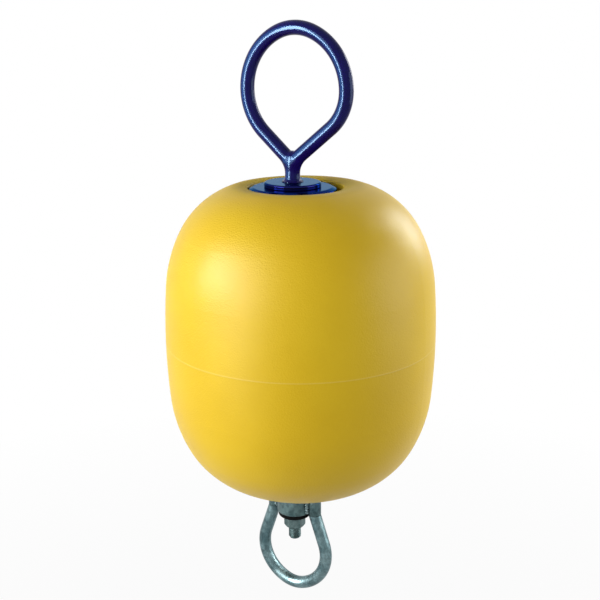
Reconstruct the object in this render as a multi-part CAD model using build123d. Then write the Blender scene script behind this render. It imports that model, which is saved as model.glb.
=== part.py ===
from build123d import *
import math
import os

os.makedirs("parts", exist_ok=True)

# Mooring buoy. A moulded float is held on a vertical rod between two flanges.
# A coated pick up ring stands on top and a swivelling bow hangs below.
# Z runs up the rod, the origin is on the rod at the height of the moulding seam,
# and both the ring and the bow lie in the XZ plane. Lengths are in mm, sweeps in degrees.

# Float skin, three arcs that run on from the equator until the skin lies level
FLOAT_R = 185.0
SIDE_R = 909.0
SIDE_SWEEP = 4.9
HAUNCH_R = 190.6
HAUNCH_SWEEP = 22.3
SHOULDER_R = 118.0

# Flange in the recess at each end of the float, with a sloping rim
FLANGE_R = 59.0
FLANGE_T = 11.0
FLANGE_RIM_W = 6.5
FLANGE_RIM_DROP = 2.5
FLANGE_EDGE_R = 2.0
FLANGE_LOW_EDGE_R = 1.0

# Recess round the flange, with a shallow dish round its mouth.
# The float hangs loose on the rod and has slid to one side.
FLANGE_ROOM = 5.0
FLANGE_LEAST_GAP = 0.5
RECESS_OFF_CENTRE = 6.8
RECESS_DEPTH = 11.0
RECESS_LIP_R = 2.5
DISH_W = 18.0
DISH_DROP = 3.1
DISH_CREST_R = 30.0
PASSAGE_ROOM = 8.0

# Rod, with a thinner spigot at the top that screws into the stem of the ring
ROD_R = 9.0
SPIGOT_R = 6.0
SPIGOT_H = 16.5
ROD_TAIL = 19.9
ROD_END_CHAMFER = 1.5
SLIP = 0.3
THREAD_SLIP = 0.05
BEARING_SLIP = 0.08

# Disc on the upper flange
DISC_R = 38.0
DISC_T = 6.5
DISC_TOP_EDGE_R = 2.2
DISC_LOW_EDGE_R = 1.0

# Coated ring of bent bar. Arcs run on from the top down each side to a straight leg,
# which bends into the stem. The ring stands a little to one side of the stem.
RING_BAR_R = 9.5
RING_TOP_R = 65.0
RING_TOP_SWEEP = 23.3
RING_SIDE_R = 79.0
RING_RIGHT_LOW_R = 60.7
RING_RIGHT_LEAN = 50.4
RING_LEFT_LOW_R = 76.0
RING_LEFT_LEAN = 48.5
RING_OFFSET = 5.15
RING_BEND_R = 34.7
LEG_OFFSET = 0.3

# Stem of the ring
STEM_R = 9.6
STEM_NECK_H = 9.3
STEM_DOME_H = 22.0
STEM_FOOT_R = 15.0
STEM_FOOT_H = 5.0

# Bearing washer between the lower flange and the swivel hub
THRUST_R = 24.0
THRUST_T = 6.0
THRUST_EDGE_R = 0.8

# Swivel hub, a collar with a boss on each side where the bow is welded on
HUB_R = 25.5
HUB_H = 57.4
HUB_EDGE_R = 2.0
BOSS_R = 9.3
BOSS_TOP_DROP = 2.0
BOSS_EDGE_R = 1.5
WEB_W = 12.0

# Bow, a bent bar with a bottom arc, side arcs and straight legs
BOW_BAR_R = 8.9
BOW_DROP = 120.3
BOW_LOW_R = 39.3
BOW_LOW_SWEEP = 18.6
BOW_SIDE_R = 57.6
BOW_LEAN = 18.8
BOW_CUT_ROOM = 20.0

# Soft washer, flat washer and nut under the hub
SOFT_R = 23.5
SOFT_T = 6.5
SOFT_EDGE_R = 1.5
FLAT_R = 16.3
FLAT_T = 3.0
FLAT_EDGE_R = 0.4
NUT_SIDES = 6
NUT_ACROSS_FLATS = 27.0
NUT_T = 16.0
NUT_CHAMFER_ANGLE = 30.0
NUT_FACE_R = 12.8
NUT_TURN = 30.0

QUARTER = 90.0
HALF_TURN = 180.0


def walk(start, heading, steps):
    """Return the edges of a path in the XZ plane, its end and its heading.

    A step is ("arc", radius, sweep), turning left where sweep is positive, or ("line", length, 0).
    """
    x, z = start
    edges = []
    for kind, size, sweep in steps:
        angle = math.radians(heading)
        if kind == "line":
            end = (x + size * math.cos(angle), z + size * math.sin(angle))
            edges.append(Edge.make_line((x, 0, z), (end[0], 0, end[1])))
        else:
            turn = math.copysign(1, sweep)
            centre = (x - turn * size * math.sin(angle), z + turn * size * math.cos(angle))
            points = []
            for share in (0.5, 1.0):
                now = angle + math.radians(sweep) * share
                points.append((centre[0] + turn * size * math.sin(now),
                               centre[1] - turn * size * math.cos(now)))
            end = points[1]
            edges.append(Edge.make_three_point_arc((x, 0, z), (points[0][0], 0, points[0][1]),
                                                   (end[0], 0, end[1])))
        x, z = end
        heading += sweep
    return edges, (x, z), heading


def line_to(start, end):
    """Return a straight edge in the XZ plane."""
    return Edge.make_line((start[0], 0, start[1]), (end[0], 0, end[1]))


def spin(points):
    """Return the solid of revolution about Z of a closed outline of (radius, height) points."""
    corners = [(p[0], 0, p[1]) for p in points]
    return revolve(make_face(Polyline(*corners, close=True)), Axis.Z)


def plate(radius, bore, low_z, high_z):
    """Return a round plate with a round hole on Z between two heights."""
    return spin(((bore, low_z), (radius, low_z), (radius, high_z), (bore, high_z)))


def rim_edges(solid, radius, height):
    """Return the circular edges of a solid at a given radius and height."""
    near = 0.01
    found = []
    for edge in solid.edges().filter_by(GeomType.CIRCLE):
        if abs(edge.radius - radius) < near and abs(edge.arc_center.Z - height) < near:
            found.append(edge)
    return found


def swept_bar(path_edges, radius):
    """Return a round bar swept along edges that join end to end."""
    path = Wire(path_edges)
    section = Plane(path @ 0, z_dir=path % 0) * Circle(radius)
    return sweep(section, path=path)


# Sizes and heights that follow from the values above
passage_r = ROD_R + PASSAGE_ROOM
recess_r = FLANGE_R + FLANGE_ROOM
recess_shift = FLANGE_ROOM - FLANGE_LEAST_GAP
float_shift = recess_shift + RECESS_OFF_CENTRE
skin, skin_end, level = walk(
    (FLOAT_R, 0.0), QUARTER,
    (("arc", SIDE_R, SIDE_SWEEP), ("arc", HAUNCH_R, HAUNCH_SWEEP),
     ("arc", SHOULDER_R, QUARTER - SIDE_SWEEP - HAUNCH_SWEEP)))
dish_r = recess_r + DISH_W
dish_z = skin_end[1] - SHOULDER_R + math.sqrt(SHOULDER_R ** 2 - (dish_r - skin_end[0]) ** 2)
lip_z = dish_z - DISH_DROP
recess_floor_z = lip_z - RECESS_DEPTH
flange_top_z = recess_floor_z + FLANGE_T
disc_top_z = flange_top_z + DISC_T
hub_top_z = -flange_top_z - THRUST_T
hub_bottom_z = hub_top_z - HUB_H
soft_bottom_z = hub_bottom_z - SOFT_T
flat_bottom_z = soft_bottom_z - FLAT_T
nut_bottom_z = flat_bottom_z - NUT_T
rod_end_z = nut_bottom_z - ROD_TAIL
rod_top_z = disc_top_z + SPIGOT_H

# Float
top_point = (0.0, skin_end[1])
upper_face = make_face(skin + [line_to(skin_end, top_point), line_to(top_point, (0.0, 0.0)),
                               line_to((0.0, 0.0), (FLOAT_R, 0.0))])
upper_half = Pos(float_shift, 0, 0) * revolve(upper_face, Axis.Z)
dish_slope = DISH_DROP / DISH_W
dish_reach = dish_r + DISH_W
dish = spin(((0.0, recess_floor_z), (recess_r, recess_floor_z), (recess_r, lip_z),
             (dish_reach, lip_z + dish_slope * (dish_reach - recess_r)), (dish_reach, 2 * dish_z),
             (0.0, 2 * dish_z)))
upper_half = upper_half - Pos(recess_shift, 0, 0) * dish
dish_face = upper_half.faces().filter_by(GeomType.CONE).sort_by(Axis.Z)[-1]
crest = [e for e in dish_face.edges().filter_by(GeomType.LINE, reverse=True)
         if e not in rim_edges(upper_half, recess_r, lip_z)]
upper_half = fillet(crest, DISH_CREST_R)
upper_half = fillet(rim_edges(upper_half, recess_r, lip_z), RECESS_LIP_R)
float_body = upper_half + mirror(upper_half, Plane.XY)
float_body = float_body - Pos(recess_shift, 0, 0) * Cylinder(passage_r, 2 * skin_end[1])

# Rod
rod = spin(((0.0, rod_end_z), (ROD_R - ROD_END_CHAMFER, rod_end_z), (ROD_R, rod_end_z + ROD_END_CHAMFER),
            (ROD_R, disc_top_z), (SPIGOT_R, disc_top_z), (SPIGOT_R, rod_top_z), (0.0, rod_top_z)))

# Flanges and the disc on the upper one
rim_edge_z = flange_top_z - FLANGE_RIM_DROP
upper_flange = spin(((ROD_R + SLIP, recess_floor_z), (FLANGE_R, recess_floor_z), (FLANGE_R, rim_edge_z),
                     (FLANGE_R - FLANGE_RIM_W, flange_top_z), (ROD_R + SLIP, flange_top_z)))
rim = rim_edges(upper_flange, FLANGE_R, rim_edge_z)
rim += rim_edges(upper_flange, FLANGE_R - FLANGE_RIM_W, flange_top_z)
upper_flange = fillet(rim, FLANGE_EDGE_R)
upper_flange = fillet(rim_edges(upper_flange, FLANGE_R, recess_floor_z), FLANGE_LOW_EDGE_R)
lower_flange = mirror(upper_flange, Plane.XY)
upper_disc = plate(DISC_R, ROD_R + SLIP, flange_top_z, disc_top_z)
upper_disc = fillet(rim_edges(upper_disc, DISC_R, disc_top_z), DISC_TOP_EDGE_R)
upper_disc = fillet(rim_edges(upper_disc, DISC_R, flange_top_z), DISC_LOW_EDGE_R)


def ring_steps(low_r, lean, stem_x):
    """Return one side of the ring as steps from its top, outwards and down to the stem."""
    bend = RING_BEND_R * (1 - math.cos(math.radians(lean)))
    steps = [("arc", RING_TOP_R, RING_TOP_SWEEP), ("arc", RING_SIDE_R, QUARTER - RING_TOP_SWEEP),
             ("arc", low_r, lean)]
    reach = walk((0.0, 0.0), HALF_TURN, steps)[1][0]
    leg = (-stem_x - LEG_OFFSET - bend - reach) / math.sin(math.radians(lean))
    return steps + [("line", leg, 0), ("arc", RING_BEND_R, -lean)]


# Ring
left_steps = ring_steps(RING_LEFT_LOW_R, RING_LEFT_LEAN, RING_OFFSET)
right_steps = ring_steps(RING_RIGHT_LOW_R, RING_RIGHT_LEAN, -RING_OFFSET)
neck_z = disc_top_z + STEM_NECK_H
ring_top_z = neck_z - walk((0.0, 0.0), HALF_TURN, left_steps)[1][1]


def ring_half(steps, middle_x):
    """Return one side of the ring as a bar, from its top to the disc."""
    start = (middle_x, ring_top_z)
    neck = walk(start, HALF_TURN, steps)[1]
    return swept_bar(walk(start, HALF_TURN, steps + [("line", neck[1] - disc_top_z, 0)])[0], RING_BAR_R)


left_half = ring_half(left_steps, RING_OFFSET)
right_half = mirror(ring_half(right_steps, -RING_OFFSET), Plane.YZ)
dome_z = neck_z + STEM_DOME_H
stem = Pos(0, 0, disc_top_z) * Cylinder(STEM_R, dome_z - disc_top_z,
                                        align=(Align.CENTER, Align.CENTER, Align.MIN))
foot = spin(((0.0, disc_top_z), (STEM_FOOT_R, disc_top_z), (STEM_R, disc_top_z + STEM_FOOT_H),
             (0.0, disc_top_z + STEM_FOOT_H)))
socket = Cylinder(SPIGOT_R + THREAD_SLIP, rod_top_z, align=(Align.CENTER, Align.CENTER, Align.MIN))
top_ring = left_half + right_half + stem + Pos(0, 0, dome_z) * Sphere(STEM_R) + foot - socket

# Washers and nut
thrust_washer = plate(THRUST_R, ROD_R + SLIP, hub_top_z, -flange_top_z)
thrust_washer = fillet(rim_edges(thrust_washer, THRUST_R, hub_top_z), THRUST_EDGE_R)
soft_washer = plate(SOFT_R, ROD_R + SLIP, soft_bottom_z, hub_bottom_z)
soft_washer = fillet(rim_edges(soft_washer, SOFT_R, soft_bottom_z), SOFT_EDGE_R)
flat_washer = plate(FLAT_R, ROD_R + SLIP, flat_bottom_z, soft_bottom_z)
flat_washer = fillet(rim_edges(flat_washer, FLAT_R, flat_bottom_z), FLAT_EDGE_R)
nut_corner_r = NUT_ACROSS_FLATS / 2 / math.cos(math.pi / NUT_SIDES)
nut_slope = (nut_corner_r - NUT_FACE_R) * math.tan(math.radians(NUT_CHAMFER_ANGLE))
nut_blank = extrude(Rot(0, 0, NUT_TURN) * RegularPolygon(nut_corner_r, NUT_SIDES), NUT_T)
nut_cone = spin(((ROD_R + THREAD_SLIP, 0.0), (NUT_FACE_R, 0.0), (nut_corner_r, nut_slope),
                 (nut_corner_r, NUT_T - nut_slope), (NUT_FACE_R, NUT_T), (ROD_R + THREAD_SLIP, NUT_T)))
hex_nut = Pos(0, 0, nut_bottom_z) * (nut_blank & nut_cone)

# Bow
low_point = (0.0, hub_bottom_z - BOW_DROP)
bow_arcs = (("arc", BOW_LOW_R, BOW_LOW_SWEEP), ("arc", BOW_SIDE_R, QUARTER - BOW_LOW_SWEEP + BOW_LEAN))
leg_start = walk(low_point, 0.0, bow_arcs)[1]
leg_length = (hub_bottom_z - leg_start[1]) / math.cos(math.radians(BOW_LEAN))
weld_x = leg_start[0] - leg_length * math.sin(math.radians(BOW_LEAN))
half_bow = swept_bar(walk(low_point, 0.0, bow_arcs + (("line", leg_length + BOW_CUT_ROOM, 0),))[0], BOW_BAR_R)
above_weld = Pos(0, 0, hub_bottom_z) * Box(FLOAT_R, FLOAT_R, FLOAT_R,
                                           align=(Align.CENTER, Align.CENTER, Align.MIN))
half_bow = half_bow - above_weld
swivel_bow = half_bow + mirror(half_bow, Plane.YZ)

# Swivel hub
collar = plate(HUB_R, ROD_R + BEARING_SLIP, hub_bottom_z, hub_top_z)
collar = fillet(rim_edges(collar, HUB_R, hub_bottom_z) + rim_edges(collar, HUB_R, hub_top_z), HUB_EDGE_R)
boss_h = HUB_H - BOSS_TOP_DROP
boss = Cylinder(BOSS_R, boss_h, align=(Align.CENTER, Align.CENTER, Align.MIN))
boss = fillet(rim_edges(boss, BOSS_R, 0.0) + rim_edges(boss, BOSS_R, boss_h), BOSS_EDGE_R)
web = Box(weld_x - HUB_R / 2, WEB_W, boss_h - 2 * HUB_EDGE_R, align=(Align.MAX, Align.CENTER, Align.MIN))
lug = Pos(weld_x, 0, hub_bottom_z) * boss + Pos(weld_x, 0, hub_bottom_z + HUB_EDGE_R) * web
swivel_hub = collar + lug + mirror(lug, Plane.YZ)

nodes = {
    "float_body": float_body,
    "rod": rod,
    "upper_flange": upper_flange,
    "upper_disc": upper_disc,
    "top_ring": top_ring,
    "lower_flange": lower_flange,
    "thrust_washer": thrust_washer,
    "swivel_hub": swivel_hub,
    "swivel_bow": swivel_bow,
    "soft_washer": soft_washer,
    "flat_washer": flat_washer,
    "hex_nut": hex_nut,
}
for name, shape in nodes.items():
    shape.label = name
    export_step(shape, "parts/" + name + ".step")
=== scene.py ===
import math

import bmesh
import bpy
import numpy as np
from mathutils import Matrix, Vector, noise


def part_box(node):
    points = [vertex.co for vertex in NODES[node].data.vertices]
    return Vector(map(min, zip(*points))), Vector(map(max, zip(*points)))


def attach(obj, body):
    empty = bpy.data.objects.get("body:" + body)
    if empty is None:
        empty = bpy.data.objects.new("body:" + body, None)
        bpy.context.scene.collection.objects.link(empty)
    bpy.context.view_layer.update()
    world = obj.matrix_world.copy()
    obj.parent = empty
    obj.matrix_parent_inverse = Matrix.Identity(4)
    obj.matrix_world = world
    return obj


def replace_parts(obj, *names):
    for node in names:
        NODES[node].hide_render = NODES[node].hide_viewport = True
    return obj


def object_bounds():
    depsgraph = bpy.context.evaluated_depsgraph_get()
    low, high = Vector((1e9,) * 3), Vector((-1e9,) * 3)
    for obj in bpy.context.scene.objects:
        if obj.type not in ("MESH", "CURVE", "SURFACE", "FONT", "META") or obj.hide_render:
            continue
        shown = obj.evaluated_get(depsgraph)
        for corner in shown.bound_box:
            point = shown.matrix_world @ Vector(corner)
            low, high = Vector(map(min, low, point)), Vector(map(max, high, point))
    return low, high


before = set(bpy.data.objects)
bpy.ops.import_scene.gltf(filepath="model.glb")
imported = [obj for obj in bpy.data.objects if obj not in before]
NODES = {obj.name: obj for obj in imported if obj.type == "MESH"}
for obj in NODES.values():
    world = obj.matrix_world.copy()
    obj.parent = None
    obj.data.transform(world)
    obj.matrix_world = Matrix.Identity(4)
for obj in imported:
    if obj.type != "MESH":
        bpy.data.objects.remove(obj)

cad_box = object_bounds()

# Middle of the float and of its recess, beside the rod's axis
FLOAT_X = 0.0113
RECESS_X = 0.0045

# Camera, at the photograph's angle
PHOTO_PX = 600.0
SENSOR_MM = 36.0
AZIMUTH = math.radians(29.5)
PITCH = math.radians(16.35)
ROLL = math.radians(-0.25)
CAMERA_AWAY = 1.28266
CAMERA_Z = 0.42705
FOCAL_PX = 976.5
SHIFT_PX = -0.56
RIGHT = Vector((math.cos(AZIMUTH), math.sin(AZIMUTH), 0.0))
AWAY = Vector((-math.sin(AZIMUTH), math.cos(AZIMUTH), 0.0))
UP = Vector((0.0, 0.0, 1.0))


def add_camera():
    data = bpy.data.cameras.new("camera")
    data.sensor_width = SENSOR_MM
    data.sensor_fit = "HORIZONTAL"
    data.lens = FOCAL_PX / PHOTO_PX * SENSOR_MM
    data.shift_x = SHIFT_PX / PHOTO_PX
    data.clip_end = 50.0
    camera = bpy.data.objects.new("camera", data)
    bpy.context.scene.collection.objects.link(camera)
    bpy.context.scene.camera = camera
    place = Vector((FLOAT_X, 0, CAMERA_Z)) - AWAY * CAMERA_AWAY
    look = AWAY * math.cos(PITCH) - UP * math.sin(PITCH)
    turn = look.to_track_quat("-Z", "Y").to_matrix().to_4x4()
    camera.matrix_world = Matrix.Translation(place) @ turn @ Matrix.Rotation(ROLL, 4, "Z")


add_camera()
bpy.context.scene.view_settings.view_transform = "Standard"


# Node helpers
class Tree:
    """Short way to build a node tree."""

    def __init__(self, group):
        self.group = group
        group.nodes.clear()

    def add(self, kind, values=None, **props):
        node = self.group.nodes.new(kind)
        for key, value in props.items():
            setattr(node, key, value)
        for key, value in (values or {}).items():
            self.put(node.inputs[key], value)
        return node

    def put(self, socket, value):
        """Link another socket to this one, or set a plain value on it."""
        if isinstance(value, bpy.types.NodeSocket):
            self.group.links.new(value, socket)
        else:
            socket.default_value = value

    def maths(self, operation, a, b=0.0):
        return self.add("ShaderNodeMath", {0: a, 1: b}, operation=operation).outputs[0]

    def noise(self, where, scale, detail=2.0, rough=0.5):
        node = self.add("ShaderNodeTexNoise", {"Vector": where, "Scale": scale, "Detail": detail,
                                               "Roughness": rough})
        return node.outputs["Fac"]

    def ramp(self, factor, *stops):
        """Colour between two stops, each given as a position and a colour."""
        node = self.add("ShaderNodeValToRGB", {0: factor})
        for element, (position, colour) in zip(node.color_ramp.elements, stops):
            element.position = position
            element.color = colour + (1.0,)
        return node.outputs["Color"]

    def span(self, value, low, high, to_low=0.0, to_high=1.0):
        """The value's range from low to high, stretched to another range and held at its ends."""
        node = self.add("ShaderNodeMapRange", {"Value": value, "From Min": low, "From Max": high,
                                               "To Min": to_low, "To Max": to_high})
        return node.outputs["Result"]

    def mix(self, factor, a, b, blend="MIX"):
        node = self.add("ShaderNodeMix", data_type="RGBA", blend_type=blend)
        self.put(node.inputs["Factor"], factor)
        self.put(node.inputs["A"], a)
        self.put(node.inputs["B"], b)
        return node.outputs["Result"]

    def direct_rays(self):
        """1 for rays that show a surface to the camera, 0 for those that light other surfaces."""
        rays = self.add("ShaderNodeLightPath").outputs
        seen = self.maths("MAXIMUM", rays["Is Camera Ray"], rays["Is Glossy Ray"])
        return self.maths("MAXIMUM", seen, rays["Is Transmission Ray"])


def grey(value):
    return (value, value, value)


def solid(colour):
    return colour + (1.0,)


def material(name):
    """A new material with its tree, its shader and the object's own coordinates."""
    mat = bpy.data.materials.new(name)
    mat.use_nodes = True
    tree = Tree(mat.node_tree)
    shader = tree.add("ShaderNodeBsdfPrincipled")
    tree.add("ShaderNodeOutputMaterial", {0: shader.outputs[0]})
    where = tree.add("ShaderNodeTexCoord").outputs["Object"]
    return mat, tree, shader, where


def bump(tree, shader, height, distance, strength, normal=None):
    values = {"Height": height, "Distance": distance, "Strength": strength}
    if normal is not None:
        values["Normal"] = normal
    node = tree.add("ShaderNodeBump", values)
    tree.put(shader.inputs["Normal"], node.outputs[0])
    return node.outputs[0]


# Moulded float skin, with a seam line round its middle that carries a painted highlight, and painted shade
# round its recess
SEAM_WANDER = 0.00015
SEAM_FULL = 0.00035
SEAM_END = 0.0011
# Painted shade: the recess and the dish round it darkened in the skin's colour, full within these radii and
# above these heights
RECESS_SHADE_FULL_R = 0.070
RECESS_SHADE_END_R = 0.098
RECESS_SHADE_LOW_Z = 0.185
RECESS_SHADE_FULL_Z = 0.200
SKIN_DARK = (0.790, 0.510, 0.011)
SKIN_LIGHT = (0.840, 0.560, 0.017)
SKIN_FLECK = (0.90, 0.64, 0.025)
# Pale colour of the painted highlight along the seam's ridge
SEAM_HIGHLIGHT = (0.98, 0.80, 0.30)
# Darker skin colour for the painted shade round the recess
SKIN_RECESS_SHADE = (0.56, 0.395, 0.006)


def float_skin():
    """Yellow plastic with a fine leather grain, a slow drift of colour, a seam line with a painted highlight
    and painted shade round the recess.
    """
    mat, tree, shader, where = material("float_skin")
    axes = tree.add("ShaderNodeSeparateXYZ", {0: where})
    z = axes.outputs["Z"]
    x_square = tree.maths("POWER", tree.maths("SUBTRACT", axes.outputs["X"], RECESS_X), 2.0)
    y_square = tree.maths("POWER", axes.outputs["Y"], 2.0)
    from_recess = tree.maths("SQRT", tree.maths("ADD", x_square, y_square))

    drift = tree.noise(where, 9.0, 3.0)
    fleck = tree.span(tree.noise(where, 420.0), 0.35, 0.65, 0.0, 0.10)
    colour = tree.ramp(drift, (0.30, SKIN_DARK), (0.70, SKIN_LIGHT))
    colour = tree.mix(fleck, colour, solid(SKIN_FLECK))

    seam_z = tree.span(drift, 0.3, 0.7, -SEAM_WANDER, SEAM_WANDER)
    from_seam = tree.maths("ABSOLUTE", tree.maths("SUBTRACT", z, seam_z))
    seam = tree.span(from_seam, SEAM_FULL, SEAM_END, 1.0, 0.0)
    # Painted highlight along the seam: paler skin where the ridge would catch the light; the ridge itself is
    # only a bump
    colour = tree.mix(tree.maths("MULTIPLY", seam, 0.22), colour, solid(SEAM_HIGHLIGHT))

    # Painted shade in the dish round the recess, patchy; the same mask also makes the skin rougher there
    near_recess = tree.span(from_recess, RECESS_SHADE_FULL_R, RECESS_SHADE_END_R, 1.0, 0.0)
    dish_shade = tree.maths("MULTIPLY", near_recess, tree.span(z, RECESS_SHADE_LOW_Z, RECESS_SHADE_FULL_Z))
    patchy = tree.span(tree.noise(where, 30.0, 3.0), 0.3, 0.7, 0.55, 0.95)
    colour = tree.mix(tree.maths("MULTIPLY", dish_shade, patchy), colour, solid(SKIN_RECESS_SHADE))

    dullness = tree.span(drift, 0.3, 0.7, 0.38, 0.44)
    tree.put(shader.inputs["Base Color"], colour)
    tree.put(shader.inputs["Roughness"], tree.maths("ADD", dullness, tree.maths("MULTIPLY", dish_shade, 0.18)))
    shader.inputs["Specular IOR Level"].default_value = 0.28

    cells = tree.add("ShaderNodeTexVoronoi", {"Vector": where, "Scale": 600.0}, feature="SMOOTH_F1")
    grain = tree.maths("ADD", tree.maths("MULTIPLY", cells.outputs["Distance"], 0.7),
                       tree.maths("MULTIPLY", tree.noise(where, 460.0), 0.55))
    grain_normal = bump(tree, shader, grain, 0.00046, 0.80)
    bump(tree, shader, seam, 0.0004, 0.45, grain_normal)
    return mat


# Blue plastic coat of the ring, the upper flange and the upper disc
def coat(name, dark, light, level, metallic, rim):
    """Glossy dipped coat; level is its clear reflection and rim the tint of its grazing one."""
    mat, tree, shader, where = material(name)
    colour = tree.ramp(tree.noise(where, 38.0), (0.30, dark), (0.70, light))
    tree.put(shader.inputs["Base Color"], colour)
    tree.put(shader.inputs["Roughness"], tree.span(tree.noise(where, 120.0, 3.0), 0.3, 0.7, 0.11, 0.16))
    shader.inputs["Metallic"].default_value = metallic
    shader.inputs["Specular Tint"].default_value = solid(rim)
    shader.inputs["Specular IOR Level"].default_value = level
    ripple = tree.maths("MULTIPLY", tree.noise(where, 160.0, 1.0), 0.05)
    bump(tree, shader, tree.maths("ADD", tree.noise(where, 45.0, 1.0), ripple), 0.00019, 0.5)
    return mat


# Hot dip zinc of the steel pieces
CRYSTALS = (260.0, 260.0, 190.0)
HOLLOW_REACH = 0.012


def zinc(name, dark, light, spangle=1.0):
    """Crystals of slightly different grey, dull patches, painted shade in the hollows and a lumpy surface.
    """
    mat, tree, shader, where = material(name)
    stretch = tree.add("ShaderNodeVectorMath", {0: where, 1: CRYSTALS}, operation="MULTIPLY")
    wobble = tree.add("ShaderNodeTexNoise", {"Vector": where, "Scale": 300.0, "Detail": 1.0})
    crooked = tree.add("ShaderNodeVectorMath", {0: stretch.outputs[0], 1: wobble.outputs["Color"]},
                       operation="ADD")
    crystal = tree.add("ShaderNodeTexVoronoi", {"Vector": crooked.outputs[0], "Scale": 1.0}, feature="F1")
    pick = tree.add("ShaderNodeSeparateColor", {0: crystal.outputs["Color"]}).outputs["Red"]
    patch = tree.noise(where, 48.0, 4.0, 0.6)

    blotch = tree.ramp(patch, (0.32, dark), (0.70, light))
    facet = tree.ramp(pick, (0.0, grey(0.66)), (1.0, grey(1.28)))
    colour = tree.mix(0.75 * spangle, blotch, facet, "MULTIPLY")
    # Painted shade: the colour darkened where ambient occlusion finds hollows and corners
    opening = tree.add("ShaderNodeAmbientOcclusion", {"Distance": HOLLOW_REACH}, samples=8).outputs["AO"]
    hollow_shade = tuple(part * 0.45 for part in dark)
    colour = tree.mix(tree.span(opening, 0.35, 0.85, 0.55, 0.0), colour, solid(hollow_shade))

    dullness = tree.span(patch, 0.3, 0.7, 0.29, 0.42)
    tree.put(shader.inputs["Base Color"], colour)
    tree.put(shader.inputs["Roughness"], tree.maths("ADD", dullness, tree.maths("MULTIPLY", pick, 0.04)))
    shader.inputs["Metallic"].default_value = 0.75
    pits = tree.maths("MULTIPLY", tree.noise(where, 700.0), 0.06)
    bump(tree, shader, tree.maths("ADD", tree.noise(where, 110.0, 3.0), pits), 0.00028, 0.45)
    return mat


# Black rubber of the soft washer
def rubber():
    mat, tree, shader, where = material("black_rubber")
    colour = tree.ramp(tree.noise(where, 90.0, 3.0), (0.3, grey(0.002)), (0.7, grey(0.006)))
    tree.put(shader.inputs["Base Color"], colour)
    tree.put(shader.inputs["Roughness"], tree.span(tree.noise(where, 240.0), 0.3, 0.7, 0.52, 0.68))
    shader.inputs["Specular IOR Level"].default_value = 0.05
    bump(tree, shader, tree.noise(where, 700.0, 3.0), 0.0002, 0.5)
    return mat


float_mat = float_skin()
coat_mat = coat("blue_coat", (0.0080, 0.0028, 0.076), (0.0100, 0.0045, 0.106), 0.16, 0.0, (0.42, 0.70, 1.0))
disc_mat = coat("blue_coat_flat", (0.0085, 0.0090, 0.078), (0.0110, 0.0130, 0.102), 0.03, 0.85,
                (0.32, 0.54, 0.79))
zinc_mat = zinc("galvanised", (0.052, 0.104, 0.116), (0.160, 0.248, 0.262))
weld_mat = zinc("weld_zinc", (0.080, 0.135, 0.145), (0.260, 0.340, 0.350), 0.6)
hub_mat = zinc("hub_zinc", (0.036, 0.074, 0.078), (0.104, 0.166, 0.168))
dull_mat = zinc("nut_zinc", (0.030, 0.066, 0.068), (0.118, 0.178, 0.178), 0.7)
rubber_mat = rubber()

FINISH = {"float_body": float_mat, "upper_flange": disc_mat, "upper_disc": disc_mat, "top_ring": coat_mat,
          "rod": zinc_mat, "lower_flange": zinc_mat, "thrust_washer": zinc_mat, "swivel_hub": hub_mat,
          "swivel_bow": zinc_mat, "soft_washer": rubber_mat, "flat_washer": dull_mat, "hex_nut": dull_mat}
for name, obj in NODES.items():
    obj.data.materials.clear()
    obj.data.materials.append(FINISH[name])
    for face in obj.data.polygons:
        face.material_index = 0


# Mesh helpers
def close_tube(bm, rows):
    """Close a tube over rows of points, with a face at each end."""
    around = len(rows[0])
    for upper, lower in zip(rows, rows[1:]):
        for k in range(around):
            after = (k + 1) % around
            bm.faces.new((upper[k], upper[after], lower[after], lower[k]))
    bm.faces.new(rows[0])
    bm.faces.new(rows[-1])


def keep(name, bm, mat, body):
    """Turn a bmesh into a smooth shaded piece that rides on a body."""
    mesh = bpy.data.meshes.new(name)
    bmesh.ops.recalc_face_normals(bm, faces=bm.faces)
    bm.to_mesh(mesh)
    bm.free()
    for face in mesh.polygons:
        face.use_smooth = True
    piece = bpy.data.objects.new(name, mesh)
    bpy.context.scene.collection.objects.link(piece)
    mesh.materials.append(mat)
    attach(piece, body)
    return piece


# Coated ring
ring_low, ring_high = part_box("top_ring")
BAR_R = 0.0095
STEM_R = 0.0096
FOOT_Z = ring_low[2]
TOP_Z = ring_high[2] - BAR_R
DOME_Z = FOOT_Z + 0.0313
TOP_SHIFT = 0.00515
CROWN_R = 0.065
CROWN_SWEEP = 23.3
SIDE_R = 0.079
SIDE_SWEEP = 66.7
LEFT_LOW_R = 0.076
LEFT_LEAN = 48.5
RIGHT_LOW_R = 0.0607
RIGHT_LEAN = 50.4
STEM_BEND_R = 0.0347
STEM_RUN = 0.0093
STEM_GAP = 0.0003
CROTCH_FILLET = 0.012
CROTCH_LOW = 0.014
CROTCH_LOW_FADE = 0.012
CROTCH_HIGH = 0.085
CROTCH_HIGH_FADE = 0.03
STEM_FILLET = 0.0022
FOOT_FLARE = 0.0048
FOOT_FLARE_RISE = 0.0026
MIRROR = np.array((-1.0, 1.0, 1.0))
VOXEL = 0.0011
HELD_FOOT = 0.0012
SLOPE_STEP = 1e-5
SMOOTH_ROUNDS = 11
SETTLE_ROUNDS = 3


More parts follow.
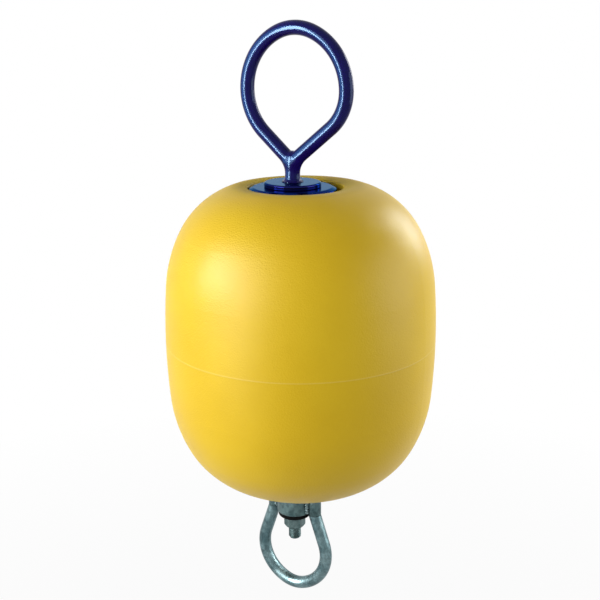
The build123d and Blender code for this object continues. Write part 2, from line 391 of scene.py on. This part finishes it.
def route(start, heading, steps):
    """Arcs and lines that join end to end in the XZ plane.

    A line is kept as its two ends, and an arc as its centre, radius, middle angle, half angle
    and two ends.
    """
    x, z = start
    runs = []
    for kind, size, sweep in steps:
        a = math.radians(heading)
        if kind == "line":
            end = (x + size * math.cos(a), z + size * math.sin(a))
            runs.append(("line", x, z, end[0], end[1]))
        else:
            turn = math.copysign(1.0, sweep)
            cx, cz = x - turn * size * math.sin(a), z + turn * size * math.cos(a)
            b = a + math.radians(sweep)
            end = (cx + turn * size * math.sin(b), cz - turn * size * math.cos(b))
            middle = 0.5 * (a + b) - turn * math.pi / 2
            runs.append(("arc", cx, cz, size, middle, abs(math.radians(sweep)) / 2, x, z, end[0], end[1]))
        x, z = end
        heading += sweep
    return runs


def side_route(top_x, low_r, lean):
    """Route of one side of the loop: three arcs down from the top, a straight leg, and a bend
    into the stem. The leg is as long as it takes to reach the stem.
    """
    arcs = (("arc", CROWN_R, CROWN_SWEEP), ("arc", SIDE_R, SIDE_SWEEP), ("arc", low_r, lean))
    reach = route((0.0, 0.0), 180.0, arcs)[-1][-2]
    bend = STEM_BEND_R * (1.0 - math.cos(math.radians(lean)))
    leg = (-top_x - STEM_GAP - bend - reach) / math.sin(math.radians(lean))
    steps = arcs + (("line", leg, 0), ("arc", STEM_BEND_R, -lean), ("line", STEM_RUN, 0))
    return route((top_x, TOP_Z), 180.0, steps)


left_runs = side_route(TOP_SHIFT, LEFT_LOW_R, LEFT_LEAN)
right_runs = side_route(-TOP_SHIFT, RIGHT_LOW_R, RIGHT_LEAN)


def bar_depth(p, runs):
    """Distance from the skin of a round bar along the route."""
    best = np.full(len(p), 1e9)
    for run in runs:
        if run[0] == "line":
            ax, az, bx, bz = run[1:]
            length = math.hypot(bx - ax, bz - az)
            ux, uz = (bx - ax) / length, (bz - az) / length
            f = np.clip((p[:, 0] - ax) * ux + (p[:, 2] - az) * uz, 0.0, length)
            flat = np.hypot(p[:, 0] - ax - f * ux, p[:, 2] - az - f * uz)
        else:
            cx, cz, r, middle, half, ax, az, bx, bz = run[1:]
            turn = np.arctan2(p[:, 2] - cz, p[:, 0] - cx) - middle
            turn = np.abs((turn + math.pi) % (2 * math.pi) - math.pi)
            on = np.abs(np.hypot(p[:, 0] - cx, p[:, 2] - cz) - r)
            off = np.minimum(np.hypot(p[:, 0] - ax, p[:, 2] - az), np.hypot(p[:, 0] - bx, p[:, 2] - bz))
            flat = np.where(turn <= half, on, off)
        best = np.minimum(best, np.hypot(flat, p[:, 1]))
    return best - BAR_R


def soft_min(a, b, k):
    """Least of two distances with a fillet of about k where they meet."""
    h = np.maximum(k - np.abs(a - b), 0.0) / k
    return np.minimum(a, b) - h * h * h * k / 6.0


def ring_depth(p):
    """Distance from the coated ring's skin, with the right side's route mirrored into its place."""
    left = bar_depth(p, left_runs)
    right = bar_depth(p * MIRROR, right_runs)
    below = np.clip((FOOT_Z + CROTCH_HIGH - p[:, 2]) / CROTCH_HIGH_FADE, 0.0, 1.0)
    above = np.clip((p[:, 2] - FOOT_Z - CROTCH_LOW) / CROTCH_LOW_FADE, 0.0, 1.0)
    loop = soft_min(left, right, 1e-6 + CROTCH_FILLET * (below * above))
    rho = np.hypot(p[:, 0], p[:, 1])
    flare = FOOT_FLARE * np.exp(-np.maximum(p[:, 2] - FOOT_Z, 0.0) / FOOT_FLARE_RISE)
    stem = np.where(p[:, 2] < DOME_Z, rho, np.hypot(rho, p[:, 2] - DOME_Z)) - STEM_R - flare
    return soft_min(loop, stem, STEM_FILLET)


def slope_of(p):
    """Direction in which ring_depth grows fastest, as a unit vector at each point."""
    steps = []
    for k in range(3):
        nudge = np.zeros(3)
        nudge[k] = SLOPE_STEP
        steps.append((ring_depth(p + nudge) - ring_depth(p - nudge)) / (2 * SLOPE_STEP))
    slope = np.stack(steps, axis=1)
    return slope / np.maximum(np.linalg.norm(slope, axis=1), 1e-9)[:, None]


def remeshed(node, size):
    """The node's mesh made anew from voxels of one size."""
    work = bpy.data.objects.new("remesh_work", node.data.copy())
    bpy.context.scene.collection.objects.link(work)
    remesh = work.modifiers.new("remesh", "REMESH")
    remesh.mode = "VOXEL"
    remesh.voxel_size = size
    bpy.context.view_layer.update()
    mesh = bpy.data.meshes.new_from_object(work.evaluated_get(bpy.context.evaluated_depsgraph_get()))
    bpy.data.objects.remove(work)
    return mesh


def coated_ring():
    """The solid remeshed, then every point drawn onto a surface that has the bars' true round
    section and the coat's soft fillets at the crotch and the foot.
    """
    mesh = remeshed(NODES["top_ring"], VOXEL)
    spots = np.empty(len(mesh.vertices) * 3)
    mesh.vertices.foreach_get("co", spots)
    spots = spots.reshape(-1, 3)
    ends = np.empty(len(mesh.edges) * 2, dtype=np.int32)
    mesh.edges.foreach_get("vertices", ends)
    ends = ends.reshape(-1, 2)
    neighbours = np.bincount(ends.ravel(), minlength=len(spots))[:, None]
    free = (spots[:, 2] > FOOT_Z + HELD_FOOT)[:, None]
    for turn in range(SMOOTH_ROUNDS + SETTLE_ROUNDS):
        moved = spots
        if turn < SMOOTH_ROUNDS:
            total = np.zeros_like(spots)
            np.add.at(total, ends[:, 0], spots[ends[:, 1]])
            np.add.at(total, ends[:, 1], spots[ends[:, 0]])
            moved = spots + (total / neighbours - spots) * 0.5
        for _ in range(2):
            moved = moved - slope_of(moved) * ring_depth(moved)[:, None]
        spots = np.where(free, moved, spots)
    bm = bmesh.new()
    bm.from_mesh(mesh)
    for vert, spot in zip(bm.verts, spots):
        vert.co = spot
    return keep("coated_ring", bm, coat_mat, "buoy")


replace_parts(coated_ring(), "top_ring")

# Rod with a cut thread on its lower end
rod_low, rod_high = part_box("rod")
disc_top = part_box("upper_disc")[1][2]
nut_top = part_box("hex_nut")[1][2]
ROD_R = rod_high[0]
SPIGOT_R = 0.006
THREAD_PITCH = 0.0025
THREAD_DEPTH = 0.00115
THREAD_ROWS = 8.0
THREAD_ABOVE_NUT = 0.010
PLAIN_ABOVE_NUT = 0.012
THREAD_STOP = 0.0015
TOOTH_STEEP = 1.35
TOOTH_FLAT = 0.18
RUN_OUT_START = 0.0006
RUN_OUT = 0.0016
BEVEL_RISE = 0.0004
BEVEL_TOP_IN = 0.0017
BEVEL_END_IN = 0.0024
AROUND = 72


def thread_cut(z, share):
    """Depth of the thread at a height and a share of the turn, with its run-out at the rod's end."""
    phase = (z / THREAD_PITCH - share) % 1.0
    tooth = min(1.0, max(0.0, abs(2 * phase - 1.0) * TOOTH_STEEP - TOOTH_FLAT))
    end = min(1.0, max(0.0, (z - rod_low[2] - RUN_OUT_START) / RUN_OUT))
    return THREAD_DEPTH * tooth + RUN_OUT * (1.0 - end)


def threaded_rod():
    bm = bmesh.new()
    # Height, radius and whether the thread is cut there
    levels = [(rod_high[2], SPIGOT_R, False), (disc_top, SPIGOT_R, False), (disc_top, ROD_R, False),
              (nut_top + PLAIN_ABOVE_NUT, ROD_R, False)]
    start = nut_top + THREAD_ABOVE_NUT
    step = THREAD_PITCH / THREAD_ROWS
    for i in range(int((start - rod_low[2] - THREAD_STOP) / step) + 1):
        levels.append((start - i * step, ROD_R, True))
    levels.append((rod_low[2] + BEVEL_RISE, ROD_R - BEVEL_TOP_IN, False))
    levels.append((rod_low[2], ROD_R - BEVEL_END_IN, False))
    rows = []
    for z, radius, threaded in levels:
        row = []
        for k in range(AROUND):
            a = 2 * math.pi * k / AROUND
            r = radius - thread_cut(z, k / AROUND) if threaded else radius
            row.append(bm.verts.new((r * math.cos(a), r * math.sin(a), z)))
        rows.append(row)
    close_tube(bm, rows)
    return keep("threaded_rod", bm, dull_mat, "buoy")


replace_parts(threaded_rod(), "rod")

# Welds on the swivel, where the bosses meet the hub's round wall
hub_low, hub_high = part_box("swivel_hub")
HUB_R = 0.0255
BOSS_R = 0.0093
WELD_R = 0.0046
WELD_OUT = 0.0026
WELD_START = 0.0015
WELD_SHORTER = 0.0055
WELD_WAVER = 0.0004
WAVER_SPEED = 7.0
WELD_STOPS = 11
BEAD_FLAT = 0.75
BEAD_AROUND = 18
BEAD_ROW = 0.0006
BEAD_CAP = 0.9
RIPPLE_LENGTH = 0.0042
RIPPLE = 0.16
LUMPS = 0.34
LUMPS_ALONG = 260
LUMPS_ROUND = 1.3


def bead(name, points, width, seed, body):
    """A weld bead along points: a lumpy closed tube with overlapping ripples."""
    bm = bmesh.new()
    total = [0.0]
    for a, b in zip(points, points[1:]):
        total.append(total[-1] + (b - a).length)
    length = total[-1]
    count = int(length / BEAD_ROW)
    rows = []
    for i in range(count + 1):
        s = length * i / count
        k = max(j for j in range(len(points) - 1) if total[j] <= s + 1e-12)
        f = (s - total[k]) / (total[k + 1] - total[k])
        centre = points[k].lerp(points[k + 1], min(1.0, f))
        along = (points[k + 1] - points[k]).normalized()
        side = along.cross(Vector((1, 0, 0))).normalized()
        other = along.cross(side)
        cap = min(1.0, math.sqrt(max(0.0, min(s, length - s)) / (width * BEAD_CAP) + 0.0004))
        ripple = 1.0 + RIPPLE * math.cos(2 * math.pi * s / RIPPLE_LENGTH + seed)
        row = []
        for m in range(BEAD_AROUND):
            a = 2 * math.pi * m / BEAD_AROUND
            spot = Vector((s * LUMPS_ALONG + seed * 7, math.cos(a) * LUMPS_ROUND, math.sin(a) * LUMPS_ROUND))
            r = width * cap * (ripple + LUMPS * noise.noise(spot))
            outward = side * (r * math.cos(a)) + other * (r * BEAD_FLAT * math.sin(a))
            row.append(bm.verts.new(centre + outward))
        rows.append(row)
    close_tube(bm, rows)
    return keep(name, bm, weld_mat, body)


def welds():
    """One upright bead in each of the four corners between a boss and the hub."""
    boss_x = hub_high[0] - BOSS_R
    join_x = (boss_x ** 2 + HUB_R ** 2 - BOSS_R ** 2) / (2 * boss_x)
    join_y = math.sqrt(HUB_R ** 2 - join_x ** 2)
    corners = (("right_back", 1, 1), ("right_front", 1, -1), ("left_back", -1, 1), ("left_front", -1, -1))
    for seed, (corner, side_x, side_y) in enumerate(corners, 1):
        points = []
        for i in range(WELD_STOPS + 1):
            f = i / WELD_STOPS
            z = hub_low[2] + WELD_START + f * (hub_high[2] - hub_low[2] - WELD_SHORTER)
            waver = WELD_WAVER * math.sin(WAVER_SPEED * f + seed)
            points.append(Vector((side_x * (join_x + waver), side_y * (join_y + WELD_OUT), z)))
        bead("weld_" + corner, points, WELD_R, seed, "swivel")


welds()

# Floor, below the hanging part, white towards its edge
FLOOR_R = 5.0
FLOOR_DROP = 0.45
WHITE = (1.0, 1.0, 1.0, 1.0)


def add_floor():
    bm = bmesh.new()
    bmesh.ops.create_circle(bm, cap_ends=True, segments=96, radius=FLOOR_R)
    mesh = bpy.data.meshes.new("floor")
    bm.to_mesh(mesh)
    bm.free()
    floor = bpy.data.objects.new("floor", mesh)
    floor.location = (0, 0, cad_box[0][2] - FLOOR_DROP)
    bpy.context.scene.collection.objects.link(floor)
    mat = bpy.data.materials.new("floor")
    mat.use_nodes = True
    tree = Tree(mat.node_tree)
    where = tree.add("ShaderNodeTexCoord").outputs["Object"]
    far = tree.add("ShaderNodeVectorMath", {0: where}, operation="LENGTH").outputs["Value"]
    share = tree.maths("MULTIPLY", tree.direct_rays(), tree.span(far, 0.3, 1.8, 0.93, 1.0))
    plain = tree.add("ShaderNodeBsdfDiffuse", {"Color": solid(grey(0.50))})
    glow = tree.add("ShaderNodeEmission", {"Color": WHITE, "Strength": 1.0})
    mixed = tree.add("ShaderNodeMixShader", {0: share, 1: plain.outputs[0], 2: glow.outputs[0]})
    tree.add("ShaderNodeOutputMaterial", {0: mixed.outputs[0]})
    mesh.materials.append(mat)


add_floor()

# World: white to the camera, dim studio fill for the light that it gives
FILL_LOW = 0.06
FILL_HIGH = 0.08


def add_world():
    world = bpy.data.worlds.new("world")
    bpy.context.scene.world = world
    world.use_nodes = True
    tree = Tree(world.node_tree)
    way = tree.add("ShaderNodeTexCoord").outputs["Generated"]
    rise = tree.add("ShaderNodeSeparateXYZ", {0: way}).outputs["Z"]
    strength = tree.span(rise, 0.1, 0.7, FILL_LOW, FILL_HIGH)
    fill = tree.add("ShaderNodeBackground", {"Color": WHITE, "Strength": strength})
    white = tree.add("ShaderNodeBackground", {"Color": WHITE, "Strength": 1.0})
    mixed = tree.add("ShaderNodeMixShader", {0: tree.direct_rays(), 1: fill.outputs[0], 2: white.outputs[0]})
    tree.add("ShaderNodeOutputWorld", {0: mixed.outputs[0]})


add_world()

# Lamps, and cards that only shine on the pieces that they name
SPREAD = math.radians(110.0)
PLAIN = (1.0, 1.0, 1.0)
COOL = (0.66, 0.80, 1.0)
WARM = (1.0, 0.86, 0.84)
CYAN = (0.10, 0.60, 1.0)
AT_FLOAT = Vector((FLOAT_X, 0, 0.05))
AT_RING = Vector((FLOAT_X, 0, 0.33))
AT_BOW = Vector((FLOAT_X, 0, -0.36))
FLOAT = ("float_body",)
RING = ("coated_ring",)
STEEL = ("lower_flange", "swivel_hub", "swivel_bow", "flat_washer", "hex_nut")


def lamp(name, azimuth, elevation, distance, width, height, power, aim, shines_on=(), tone=PLAIN):
    """Area light placed by its angle from the camera's side, positive to the right.

    A lamp with names in shines_on is a reflector card: it only puts its gloss on those objects.
    """
    data = bpy.data.lights.new(name, "AREA")
    data.shape = "RECTANGLE"
    data.size = width
    data.size_y = height
    data.energy = power
    data.color = tone
    data.spread = SPREAD
    a, e = math.radians(azimuth), math.radians(elevation)
    way = RIGHT * math.sin(a) * math.cos(e) - AWAY * math.cos(a) * math.cos(e) + UP * math.sin(e)
    obj = bpy.data.objects.new(name, data)
    obj.location = aim + way * distance
    obj.rotation_euler = (-way).to_track_quat("-Z", "Y").to_euler()
    bpy.context.scene.collection.objects.link(obj)
    if shines_on:
        obj.visible_diffuse = False
        lit = bpy.data.collections.new(name + "_lit")
        for piece in shines_on:
            lit.objects.link(bpy.data.objects[piece])
        obj.light_linking.receiver_collection = lit


# Name, azimuth, elevation, distance, width, height, power, aim, pieces shone on and tone
lamp("key", -72, 17, 1.35, 0.26, 0.42, 1.7, AT_FLOAT)
lamp("main", -50, 11, 2.0, 1.0, 1.7, 14.2, AT_FLOAT)
lamp("side", 82, 5, 2.2, 1.6, 1.6, 12.4, AT_FLOAT)
lamp("kicker", 128, 22, 1.6, 0.35, 0.8, 2.8, AT_FLOAT)
lamp("shoulder_gleam", 128, 19, 1.6, 0.6, 0.9, 2.6, AT_FLOAT, FLOAT, COOL)
lamp("float_sheen", -62, 6, 1.7, 1.8, 1.7, 11.0, AT_FLOAT, FLOAT, COOL)
lamp("float_gleam", -73, 17, 1.35, 0.36, 0.48, 3.6, AT_FLOAT, FLOAT, COOL)
lamp("ring_streak", -58, 0, 1.7, 0.25, 1.4, 33.0, AT_RING, RING)
lamp("ring_band", -75, 5, 1.7, 2.2, 1.6, 32.0, AT_RING, RING, CYAN)
lamp("bow_gleam", -60, 22, 1.7, 0.50, 0.55, 36.0, AT_BOW, STEEL, WARM)
lamp("bow_edge", 88, 38, 1.7, 0.30, 1.2, 14.0, AT_BOW, STEEL, WARM)
